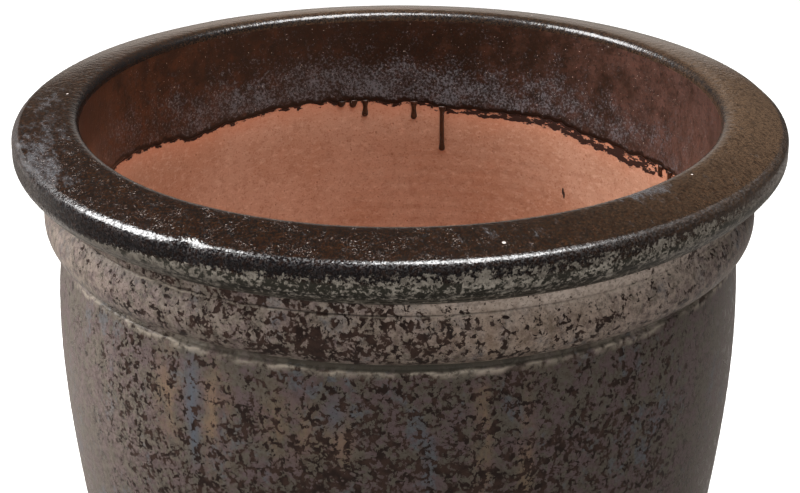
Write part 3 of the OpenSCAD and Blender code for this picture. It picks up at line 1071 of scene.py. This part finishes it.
def makeClayRing(name, outer, inner, shape, spacing):
    # up the hidden outside and down the bare inside, closed at top and bottom
    outside, inside = stretch(*outer, shape["underGlaze"]), stretch(*inner, shape[spacing])
    place = np.r_[outside, inside][:, None]
    hidden = (np.arange(len(place)) < len(outside))[:, None]
    angle = roundAngles(shape["columns"])
    sunk = shape["sunk"] * hidden * eased(onLine(place)[1], bareHeight + 4 * mm, bareHeight + 14 * mm)
    radius, height = onLine(place, -sunk)
    sharp = [0, len(outside) - 1, len(outside), len(place) - 1]
    piece = surface(name, handMade(radius, angle, height), sharp)
    below = bandEdge(angle) - height
    first, last, low, half = shape["stroke"]
    degrees = np.degrees(angle)
    stretched = eased(degrees, first - 6, first + 6) * (1 - eased(degrees, last - 6, last + 6))
    low = low * (1.15 - 0.7 * eased(degrees, first, last))
    stroke = bump(below - low, half * (1 + 1.2 * eased(-degrees, -last, -first)))
    smear = 0.76 * eased(below, -2 * mm, 0) * (1 - eased(below, low, low + 1.5 * mm))
    stain = np.maximum(stretched * np.maximum(stroke, smear), 0.85 * bump(below, 2.4 * mm))
    paint(piece, stain=np.where(hidden, 0, stain), warmth=bump(below, 9 * mm))
    return piece


floorOut, seamOut = placeAt(floorTop), placeAt(seamHeight)
floorIn, seamIn, lipIn = (placeAt(height, inside=True) for height in (floorTop, seamHeight, lipHeight))
clayRings = [
    ("lowerWall", "lower_wall", (floorOut, seamOut), (seamIn, floorIn), "spacing"),
    ("upperWall", "upper_wall", (seamOut, marks["groove"]), (marks["inside"], seamIn), "spacing"),
    ("collarBand", "collar_band", (marks["groove"], marks["lip"]), (lipIn, marks["inside"]), "fineSpacing"),
    ("rimCoil", "rim_coil", (marks["lip"], marks["throat"]), (marks["throat"] + mm, lipIn), "spacing"),
]
for name, node, outer, inner, spacing in clayRings:
    finished(makeClayRing(name, outer, inner, clayShape, spacing), clay, "bare_terracotta", node)

# Floor, foot and the coil in the corner

floorShape = {
    "columns": 480,
    "spacing": 3 * mm,
    "hiddenSpacing": 4 * mm,
    "spiralPitch": 15 * mm,
    "spiralDepth": 0.5 * mm,
    # distance past the hole's rim where the spiral is full, and the radii between which it fades
    "spiralReach": (20 * mm, 195 * mm, 206 * mm),
    "holeRound": 2.5 * mm,
}


def makeFloor(shape):
    # outer edge, top face with a finger spiral, the drain hole, and the turned underside
    angle = roundAngles(shape["columns"])
    edgeRadius, edgeHeight = onLine(stretch(0, floorOut, shape["hiddenSpacing"]))
    soft = shape["holeRound"]
    holeRim = drainRadius + soft
    reach = stretch(edgeRadius[-1] - mm, holeRim, shape["spacing"])
    bend = np.radians(np.linspace(0, 90, 7))
    upper = np.c_[holeRim - soft * np.sin(bend), floorTop - soft * (1 - np.cos(bend))]
    lower = np.c_[holeRim - soft * np.cos(bend), footTop + soft * (1 - np.sin(bend))]
    under = stretch(holeRim, edgeRadius[0] - mm, shape["hiddenSpacing"])[1:]
    rows = np.vstack([np.c_[edgeRadius, edgeHeight], np.c_[reach, np.full(len(reach), floorTop)], upper[1:],
                      lower, np.c_[under, np.full(len(under), footTop)]])
    radius, height = rows[:, :1], rows[:, 1:]
    inner, fadeFrom, fadeTo = shape["spiralReach"]
    face = eased(radius, holeRim, holeRim + inner) * (1 - eased(radius, fadeFrom, fadeTo))
    depth = shape["spiralDepth"] * face * np.where(height > (floorTop + footTop) / 2, 1, 0.5)
    height = height + depth * np.sin(turn * radius / shape["spiralPitch"] - angle)
    return surface("baseSlab", handMade(radius, angle, height), [0, len(edgeRadius) - 1])


footShape = {
    "columns": 480,
    "bevel": 1.5 * mm,
    "wear": 0.3 * mm,
}


def makeFoot(shape):
    # a ring with bevelled and slightly worn lower edges
    low, high = bottom["foot_ring"], footTop
    inner, outer = radiiOf("foot_ring")
    bevel = shape["bevel"]
    curve = np.radians(np.linspace(0, 90, 6))
    outerCorner = np.c_[outer - bevel * (1 - np.sin(curve)), low + bevel * (1 - np.cos(curve))]
    innerCorner = np.c_[inner + bevel * (1 - np.cos(curve)), low + bevel * (1 - np.sin(curve))]
    face = np.c_[np.linspace(inner + bevel, outer - bevel, 9), np.full(9, low)][1:-1]
    middle = (low + high) / 2
    sides = [[outer, middle], [outer, high], [inner, high], [inner, middle]]
    rows = np.vstack([innerCorner, face, outerCorner, sides])
    angle = roundAngles(shape["columns"])
    radius, height = rows[:, :1], rows[:, 1:]
    radius = radius + shape["wear"] * wander(angle, 3, 40, 21) * (height > low + 0.1 * mm)
    return surface("footRing", handMade(radius, angle, height), [len(rows) - 2, len(rows) - 3])


coilShape = {
    "columns": 480,
    "presses": 31,          # half as many as there are fingertips round the pot
    "pressDepth": 0.7 * mm,
    "uneven": 0.3 * mm,
    "hollow": 0.45,         # how far the face is drawn towards the corner
    "bedded": 1.5 * mm,     # depth of its back in the wall
}


def makeCoil(shape):
    # a hollow fillet pressed in by fingertips: each press dips the face a little
    cornerRadius = onLine(floorIn)[0]
    size = cornerRadius - radiiOf("luting_coil")[0]
    t = np.linspace(0, 1, 14)[:, None]
    toe, corner = np.array([cornerRadius - size, floorTop]), np.array([cornerRadius, floorTop])
    highRadius = onLine(placeAt(floorTop + size, inside=True))[0]
    high = np.array([highRadius, floorTop + size])
    drawn = shape["hollow"] * corner + 0.5 * (1 - shape["hollow"]) * (toe + high)
    face = (1 - t) ** 2 * toe + 2 * t * (1 - t) * drawn + t * t * high
    bedded, sole = shape["bedded"], floorTop - 0.5 * mm
    back = np.array([[highRadius + bedded, floorTop + size], [cornerRadius + bedded, floorTop + 0.5 * size],
                     [cornerRadius, sole], [toe[0], sole]])
    rows = np.vstack([face, back])
    angle = roundAngles(shape["columns"])
    press = np.r_[np.sin(np.pi * t[:, 0]), np.zeros(len(back))][:, None]
    tips = shape["pressDepth"] * np.abs(np.sin(shape["presses"] * angle + 0.6 * wander(angle, 2, 9, 5)))
    dips = press * (tips + shape["uneven"] * wander(angle, 9, 70, 6))
    return surface("lutingCoil", handMade(rows[:, :1] + dips, angle, rows[:, 1:] - 0.6 * dips))


finished(makeFloor(floorShape), clay, "bare_terracotta", "base_slab")
finished(makeFoot(footShape), clay, "bare_terracotta", "foot_ring")
finished(makeCoil(coilShape), clay, "bare_terracotta", "luting_coil")


def turnOutwards(piece):
    # faces point outwards: six times the volume is the sum over the faces of a . (b x c), never below zero
    mesh = piece.data
    mesh.calc_loop_triangles()
    corners = np.empty(3 * len(mesh.loop_triangles), np.int32)
    mesh.loop_triangles.foreach_get("vertices", corners)
    a, b, c = (cornersOf(mesh)[corners.reshape(-1, 3)[:, k]] for k in range(3))
    if (a * np.cross(b, c)).sum() < 0:
        mesh.flip_normals()
        print("turned", piece.name)


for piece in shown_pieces():
    turnOutwards(piece)

# Floor of the studio, lights and camera

studio = {
    "floor": (252, 252, 251),
    "floorSide": 60,
    "floorGlow": 0.35,      # lifts the floor to the white of a photograph's paper
    # place, size, degrees rolled, the power that lights the pot and the power that its gloss mirrors
    "lights": {
        "softbox": ((0.44, -0.25, 2.5), (1.0, 1.3), 0, 49, 84),
        "leftLight": ((-1.56, 0.28, 1.98), (1.05, 1.3), 28, 79, 88),
        "frontLight": ((1.3, -3.0, 1.2), (2.0, 1.6), 0, 46, 0),
        "sideLight": ((-2.9, -1.15, 0.7), (1.6, 1.6), 0, 66, 0),
    },
    "gap": 0.04,            # share of the way to the rim by which a mirrored lamp stands in front of its twin
    # brightness of the surroundings that the gloss mirrors
    "front": 0.12,
    "behindLeft": 1.0,
    "behindMiddle": 0.58,
    "overhead": 0.058,
    "horizon": (-0.20, 0.05),   # heights between which the brightness behind fades, at the left
    "horizonRight": 0.17,       # how much lower it fades at the right
    "horizonMiddle": 0.36,      # and how much higher straight behind
    "dip": 0.65,                # strength of the dark strips just below it
    "dipHeights": ((-0.07, -0.14), (-0.37, -0.31)),         # soft ends of the strip behind
    "sideDipHeights": ((-0.24, -0.30), (-0.42, -0.37)),     # and of the one at the left
    "warmth": (255, 244, 234),
    "backdrop": 1.15,       # what the camera itself sees
    "cameraPlace": (1.9 * mm, -1.5926, potHeight + 0.8 * mm + 0.54229),
    "cameraPitch": 22.61,   # degrees below the horizontal
    "lens": 96.95,
}


def addLight(name, place, size, roll, power, gap=0):
    # a rectangle of light that faces the rim; with a gap it shows in the pot's gloss alone, without it never
    light = bpy.data.lights.new(name, "AREA")
    light.shape = "RECTANGLE"
    light.size, light.size_y = size
    light.energy = power
    lamp = newObject(name, light)
    inward = Vector((0, 0, potHeight)) - Vector(place)
    lamp.location = Vector(place) + gap * inward
    lamp.rotation_mode = "QUATERNION"
    lamp.rotation_quaternion = inward.to_track_quat("-Z", "Y") @ Quaternion((0, 0, 1), np.radians(roll))
    lamp.visible_camera = False
    lamp.visible_diffuse = gap == 0
    lamp.visible_glossy = gap > 0


def makeFloorSheet(s):
    # a square of paper, clear from below so that the foot can be looked at
    mesh = bpy.data.meshes.new("floor")
    half = s["floorSide"] / 2
    corners = [(-half, -half, 0), (half, -half, 0), (half, half, 0), (-half, half, 0)]
    mesh.from_pydata(corners, [], [(0, 1, 2, 3)])
    floor = newObject("floor", mesh)
    mesh.materials.append(newMaterial("studio_floor"))
    white = linear(*s["floor"])
    paper = put("BsdfPrincipled", {"Base Color": white, "Roughness": 0.9, "Specular IOR Level": 0.1,
                                   "Emission Color": white, "Emission Strength": s["floorGlow"]})
    below = put("NewGeometry", {}, "Backfacing")
    sheet = put("MixShader", {0: below, 1: paper, 2: put("BsdfTransparent", {})})
    put("OutputMaterial", {"Surface": sheet})
    floor.visible_glossy = floor.visible_diffuse = False


def makeWorld(s):
    # bright behind up to a soft horizon, dim in front and overhead, and white where the camera itself looks
    scene.world = startTree(bpy.data.worlds.new("studio"), "Generated")
    rightward, backward, upward = (put("SeparateXYZ", {0: bench["where"]}, axis) for axis in range(3))
    behind = between(steps(rightward, -0.50, -0.30), s["behindLeft"], s["behindMiddle"])
    # above the horizon only the part straight behind the pot is bright
    narrowed = raised(backward, steps(upward, -0.08, 0.08), -0.30)
    level = between(steps(narrowed, 0.25, 0.70), s["front"], behind)
    dip = times(window(upward, *s["dipHeights"]), steps(maths("ABSOLUTE", rightward), 0.52, 0.38))
    sideDip = times(window(upward, *s["sideDipHeights"]), steps(rightward, -0.10, -0.22))
    level = between(times(maths("MAXIMUM", dip, sideDip), s["dip"]), level, s["overhead"])
    upward = raised(upward, steps(rightward, 0.12, 0.25), s["horizonRight"])
    upward = raised(upward, window(rightward, (-0.35, -0.05), (0.32, 0.15)), -s["horizonMiddle"])
    level = between(steps(upward, *s["horizon"]), level, s["overhead"])
    seen = put("LightPath", {}, "Is Camera Ray")
    shade = put("Background", {"Color": blend(seen, s["warmth"], (255, 255, 255)),
                               "Strength": between(seen, level, s["backdrop"])})
    put("OutputWorld", {"Surface": shade})


def makeCamera(s):
    camera = bpy.data.cameras.new("camera")
    camera.lens = s["lens"]
    camera.sensor_width = 36
    camera.clip_start, camera.clip_end = 0.05, 100
    holder = newObject("camera", camera)
    holder.location = s["cameraPlace"]
    holder.rotation_euler = (np.radians(90 - s["cameraPitch"]), 0, 0)
    scene.camera = holder


makeFloorSheet(studio)
for name, (place, size, roll, power, mirrored) in studio["lights"].items():
    addLight(name, place, size, roll, power)
    if mirrored:
        addLight(name + "Glint", place, size, roll, mirrored, studio["gap"])
makeWorld(studio)
makeCamera(studio)
scene.view_settings.view_transform = "Standard"
print("studio ready")
